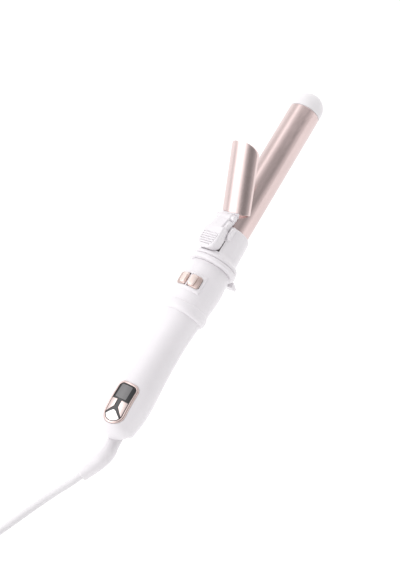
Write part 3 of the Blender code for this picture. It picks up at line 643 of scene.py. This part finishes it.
def clamp_plate():
    inner, front, half, corner = BARREL_RADIUS + 0.3, 266.5, 13.8, 10.0
    rows = [206.7 + i * (front - 206.7) / 60 for i in range(61)]
    profile = [(x, inner) for x in rows] + [(x, inner + 0.8) for x in rows[::-1]]
    plate = lathe("plate", profile, SHUT, 224)
    outline = [
        (200, -half), *arc((front - corner, corner - half), corner, -90, 0, 24),
        *arc((front - corner, half - corner), corner, 0, 90, 24), (200, half),
    ]  # fmt: skip
    carve(plate, slab("outline", outline, (0, 20), SHUT), "INTERSECT")
    soften(plate, 0.28, 3, 50)
    dress(plate, ROSE_PLATE, "clamp", "clamp_plate", slot="rose_metal", sharp=50)


def clamp_grip():
    """The cap on the plate's rear end and the ribbed tongue for the thumb, moulded in one."""
    x, z = CLAMP_PIVOT.x, CLAMP_PIVOT.z
    grip = slab("grip", arc((x, z), 2.8, 0, 360, 40)[:-1], (-9.8, 9.8), HEAD, "Y", 0.8, 4)
    lip = band("lip", (x, 207.9), (15.4, 16.7), (-36, 36), SHUT, 0.5)
    dome = band("dome", (198.8, x + 0.5), (15.6, 18.7), (-31.6, 31.6), HEAD, 0.5)
    crest = slab("crest", arc((x, z), 3.5, 0, 360, 40)[:-1], (-6.4, 6.4), HEAD, "Y", 0.6, 3)
    ridge = block("ridge", (198.8, x + 0.2), (-6.2, 6.2), (16.6, z + 3.3), HEAD, 0.5)
    rear, front, half, corner = 169.7, 191.2, 9.6, 7.0
    top = [
        (front, -half), (front, half), *arc((rear + corner, half - corner), corner, 90, 180, 12),
        *arc((rear + corner, corner - half), corner, 180, 270, 12),
    ]  # fmt: skip
    tongue = slab("tongue", top, (11.0, 24.0), HEAD, rounded=1.6, segments=6)
    neck = [(187, 19.6), (187, 24.1), (191, 23.5), (195, 21.9), (200.5, 20.9), (200.5, 18.9)]
    web = [(188, 14.5), (188, 22.4), (194, 20.9), (199.6, 19.6), (199.6, 14.5)]
    union(grip, lip, dome, crest, ridge, tongue)
    union(grip, slab("neck", neck, (-5.8, 5.8), HEAD, "Y", 0.8))
    union(grip, slab("web", web, (-8.8, 8.8), HEAD, "Y", 0.8))
    for frame_of, y in ((SHUT, 5.6), (HEAD, 5.7)):
        carve(grip, block("room", (x - 5, x), (-y, y), (z - 2.2, z + 2.2), frame_of))
        carve(grip, slab("barrel", arc((0, 0), 14.4, 0, 360, 64)[:-1], (198, 215), frame_of, "X"))
    carve(grip, slab("pin_room", arc((x, z), 2.2, 0, 360, 32)[:-1], (-5.5, 5.5), HEAD, "Y"))
    room = [
        (160, 0), (160, 21.05), (169.8, 21.05), (170.2, 19.9), (171.2, 19.0), (172.6, 18.1),
        (174, 17.7), (198.6, 17.2), (198.6, 0),
    ]  # fmt: skip
    carve(grip, lathe("collar_room", room, HEAD, 96))
    carve(grip, block("hollow", (172.4, 189.4), (-7.9, 7.9), (12, 22.0), HEAD))
    for ys in ((9.25, 13), (-13, -9.25)):
        carve(grip, block("shoulder_room", (183.6, 197.9), ys, (10, 16.7), HEAD))
    melt(grip, 0.28, 4)
    for i, reach in enumerate((4.6, 6.4, 7.3, 7.6, 7.6, 7.6)):
        x = rear + 2.2 + LEVER_RIB_PITCH * i
        rib = slab("rib", arc((x, 23.65), 0.9, 0, 360, 20)[:-1], (-reach, reach), HEAD, "Y", 0.4, 3)
        union(grip, rib)
        middle = x + LEVER_RIB_PITCH / 2
        groove = arc((middle, 24.0), 0.5, 0, 360, 16)[:-1]
        carve(grip, slab("groove", groove, (-reach, reach), HEAD, "Y"))
    dress(grip, WHITE, "clamp", "clamp_cap", "thumb_lever", sharp=55)


# ---------------------------------------------------------------- cord and plug


def boot_path():
    out = [tuple(IRON @ Vector((x, 0, CORD_Z))) for x in (3.6, -2.5)]
    return [
        *out, (-175, -1.2, 6.45), (-182, 0, 6.6), (-188, 2.2, 6.3), (-194.5, 5.2, 6.0),
        (-200.5, 8.0, 5.5),
    ]  # fmt: skip


BOOT_RADII = [5.7, 5.9, 6.35, 6.5, 6.2, 5.9, 5.4]
CORD_ROUTE = [
    (-200.8, 8.1, 5.4), (-210, 12.8, 4.8), (-223, 20.6, 3.7), (-241, 29.6, 3.05),
    (-262, 39.0, 3.05), (-284, 49.3, 3.05), (-306.0, 59.7, 3.05),
]  # fmt: skip


def coil_points():
    """The wound part: in along the table, up one diameter, and out again on top."""
    turns, climb = COIL_TURNS, 0.153
    inner = COIL_OUTER_TURN - COIL_PITCH * turns
    total = 2 * turns + climb
    points = []
    steps = int(total * 40)
    for i in range(steps + 1):
        t = total * i / steps
        angle = math.radians(COIL_START) + math.tau * t
        if t < turns:
            radius, height = COIL_OUTER_TURN - COIL_PITCH * t, CORD_RADIUS + 0.05
        elif t < turns + climb:
            share = ease(t, turns, turns + climb)
            radius, height = inner, CORD_RADIUS + 0.05 + (2 * CORD_RADIUS + 0.05) * share
        else:
            radius = inner + COIL_PITCH * (t - turns - climb)
            height = 3 * CORD_RADIUS + 0.1
        spot = Vector((math.cos(angle) * radius, math.sin(angle) * radius, height))
        points.append(tuple(COIL_CENTRE + spot))
    return points


def length_of(points):
    return sum((Vector(b) - Vector(a)).length for a, b in zip(points, points[1:]))


def cord_path():
    """The whole cord from the boot to the plug."""
    coil = coil_points()
    heading = math.radians(COIL_EXIT_ANGLE + 90)
    start = Vector((*coil[-1][:2], 0))
    ahead = Vector((math.cos(heading), math.sin(heading), 0))
    drops = [(6, 9.1), (12, 8.8), (18, 8.2), (24, 7.6), (29, 7.3), (33.7, 7.1), (40, 7.1)]
    tail = [tuple(start + ahead * far + Vector((0, 0, height))) for far, height in drops]
    return smooth(CORD_ROUTE, 4) + coil + tail


def cord():
    points = cord_path()
    print("cord length", round(length_of(points) * MM, 4))
    made = sweep("cord", points, [CORD_RADIUS] * len(points), TABLE, 16)
    dress(made, JACKET, "handle", "cord_run", "cord_coil", "cord_tail", slot="cord_jacket", sharp=60)
    plug_piece = plug()
    tie_piece = tie()


def plug():
    angle = math.radians(COIL_EXIT_ANGLE)
    start = COIL_CENTRE + Vector((math.cos(angle), math.sin(angle), 0)) * COIL_OUTER_TURN
    place = at(start) @ about("Z", COIL_EXIT_ANGLE + 90)
    centre = 7.1
    outline = [(50, -8), (54, -11.5), (79, -11.5), (79, 11.5), (54, 11.5), (50, 8)]
    body = slab("plug", outline, (0.1, 14.1), place, rounded=2.6, segments=6)
    relief = [(34, 0), (34, 3.5), (35, 3.9)]
    for i in range(5):
        x, r = 36.2 + 2.6 * i, 4.15 + 0.24 * i
        relief += [(x - 0.5, r), (x, r - 0.7), (x + 0.7, r - 0.7), (x + 1.1, r + 0.1)]
    relief += [(51, 5.4), (53, 5.6), (53, 0)]
    neck = lathe("relief", relief, place @ at((0, 0, centre)), 48)
    union(body, neck)
    for i in range(4):
        for side in (-1, 1):
            x = 58 + 3.2 * i
            carve(body, block("grip", (x, x + 1.3), (side * 10.9, side * 13), (3, 11.2), place, 0.3))
    return dress(body, SOFT_WHITE, "handle", "plug_body")


def tie():
    """A soft strap round the coil's turns."""
    middle = (COIL_OUTER_TURN + COIL_OUTER_TURN - COIL_PITCH * COIL_TURNS) / 2
    place = at(COIL_CENTRE) @ about("Z", 15)
    low, high = middle - 14.2, middle + 14.2
    outer = rectangle((low - 0.2, high + 0.2), (0.02, 12.95), 3.0)
    inner = rectangle((low + 0.5, high - 0.5), (0.3, 12.3), 2.6)
    strap = slab("cord_tie", outer, (-4, 4), place, "Y", 0.15, 2)
    carve(strap, slab("inside", inner, (-6, 6), place, "Y"))
    return dress(strap, SOFT_WHITE, "handle", slot="cord_jacket", sharp=50)


def boot():
    fine = smooth([(*p, radius) for p, radius in zip(boot_path(), BOOT_RADII)], 8)
    made = sweep("boot", [p[:3] for p in fine], [p[3] for p in fine], TABLE, 48)
    soften(made, 0.5, 3, 50)
    dress(made, WHITE, "handle", "cord_boot", sharp=50)
    profile = [
        (3.9, 3.4), (3.9, 5.3), (4.3, 5.7), (8.2, 5.7), (8.2, 4.4), (10.6, 4.4), (10.6, 5.4),
        (12.6, 5.4), (12.6, 3.4),
    ]  # fmt: skip
    sleeve = lathe("sleeve", profile, IRON @ at((0, 0, CORD_Z)), 64)
    dress(sleeve, WHITE, "swivel", "swivel_sleeve")


# ---------------------------------------------------------------- camera, floor and light


SENSOR = 36
FOCAL_LENGTH = 1125 / 570  # as a multiple of the picture's longer side


def camera():
    data = bpy.data.cameras.new("camera")
    data.lens = FOCAL_LENGTH * SENSOR
    data.sensor_width = SENSOR
    data.clip_start = 0.01
    made = bpy.data.objects.new("camera", data)
    made.location = (-0.37299, -0.44129, 0.76256)
    made.rotation_euler = [math.radians(a) for a in (35.339, 14.048, -57.368)]
    bpy.context.scene.collection.objects.link(made)
    bpy.context.scene.camera = made


def floor():
    bm = bmesh.new()
    bmesh.ops.create_grid(bm, x_segments=8, y_segments=8, size=6000)
    made = solid("floor", bm, TABLE)
    look, tree, shader = shader_of("floor", 0.9)
    shader.inputs["Specular IOR Level"].default_value = 0
    shader.inputs["Emission Color"].default_value = (1, 1, 1, 1)
    shader.inputs["Emission Strength"].default_value = 0.92
    cloud = texture(tree, 3)
    ramp(tree, cloud, (0.28, 0.28, 0.28), (0.3, 0.3, 0.3), shader.inputs["Base Color"])
    made.data.materials.append(look)


# The studio's brightness by the angle in degrees about the iron's axis: 0 is up, negative is to
# the left. One row lies ahead towards the tip, and one lies above and behind.
AHEAD = [
    (-95, 1.25), (-85, 1.15), (-66, 0.95), (-54, 1.05), (-44, 1.5), (-36, 1.85), (-27, 1.35),
    (-11, 0.9), (2, 0.64), (15, 0.56), (36, 0.56), (50, 0.46), (60, 0.48), (72, 0.72), (84, 0.95),
    (96, 1.0),
]  # fmt: skip
BEHIND = [
    (-95, 1.3), (-84, 1.05), (-74, 0.9), (-64, 1.3), (-54, 2.0), (-30, 2.6), (-2, 2.0), (12, 1.3),
    (22, 0.8), (32, 0.5), (42, 0.36), (56, 0.3), (68, 0.36), (82, 0.7), (95, 1.0),
]  # fmt: skip
ENDS = 1.5  # towards both ends of the iron
BRIGHTEST = 2.6


def studio():
    """A light tent of soft strips that run along the iron, brightest above its left side."""
    scene = bpy.context.scene
    world = bpy.data.worlds.new("studio")
    scene.world = world
    world.use_nodes = True
    tree = world.node_tree
    link, new = tree.links.new, tree.nodes.new
    where = new("ShaderNodeTexCoord").outputs["Generated"]

    def along(axis):
        node = new("ShaderNodeVectorMath")
        node.operation = "DOT_PRODUCT"
        node.inputs[1].default_value = axis
        link(where, node.inputs[0])
        return node.outputs["Value"]

    def calculated(operation, first, second=None):
        node = new("ShaderNodeMath")
        node.operation = operation
        link(first, node.inputs[0])
        if second is not None:
            link(second, node.inputs[1])
        return node.outputs["Value"]

    def mapped(value, low, high, interpolation="SMOOTHSTEP"):
        node = new("ShaderNodeMapRange")
        node.interpolation_type = interpolation
        node.inputs["From Min"].default_value = low
        node.inputs["From Max"].default_value = high
        link(value, node.inputs["Value"])
        return node.outputs["Result"]

    def blended(share, first, second):
        node = new("ShaderNodeMix")
        link(share, node.inputs["Factor"])
        for socket, value in (("A", first), ("B", second)):
            if isinstance(value, float):
                node.inputs[socket].default_value = value
            else:
                link(value, node.inputs[socket])
        return node.outputs["Result"]

    turn = calculated("ARCTAN2", along((0, -1, 0)), along(IRON.to_3x3() @ Vector((0, 0, 1))))
    place = mapped(turn, -math.pi, math.pi, "LINEAR")

    def strips(table):
        node = new("ShaderNodeValToRGB")
        node.color_ramp.interpolation = "B_SPLINE"
        elements = node.color_ramp.elements
        while len(elements) > 1:
            elements.remove(elements[-1])
        for i, (degrees, value) in enumerate(table):
            spot = degrees / 360 + 0.5
            element = elements[0] if i == 0 else elements.new(spot)
            element.position = spot
            element.color = (*[value / BRIGHTEST] * 3, 1)
        link(place, node.inputs["Fac"])
        return node.outputs["Color"]

    ahead = along(IRON.to_3x3() @ Vector((1, 0, 0)))
    sides = blended(mapped(ahead, -0.1, 0.3), strips(BEHIND), strips(AHEAD))
    ends = mapped(calculated("ABSOLUTE", ahead), 0.64, 0.8)
    light = blended(ends, sides, ENDS / BRIGHTEST)
    link(light, tree.nodes["Background"].inputs["Color"])
    tree.nodes["Background"].inputs["Strength"].default_value = BRIGHTEST
    scene.view_settings.view_transform = "Standard"


camera()
paint_carried_nodes()
cord()
boot()
handle()
bezel()
keys()
housing()
buttons()
stand()
head()
barrel()
clamp_plate()
clamp_grip()
floor()
studio()
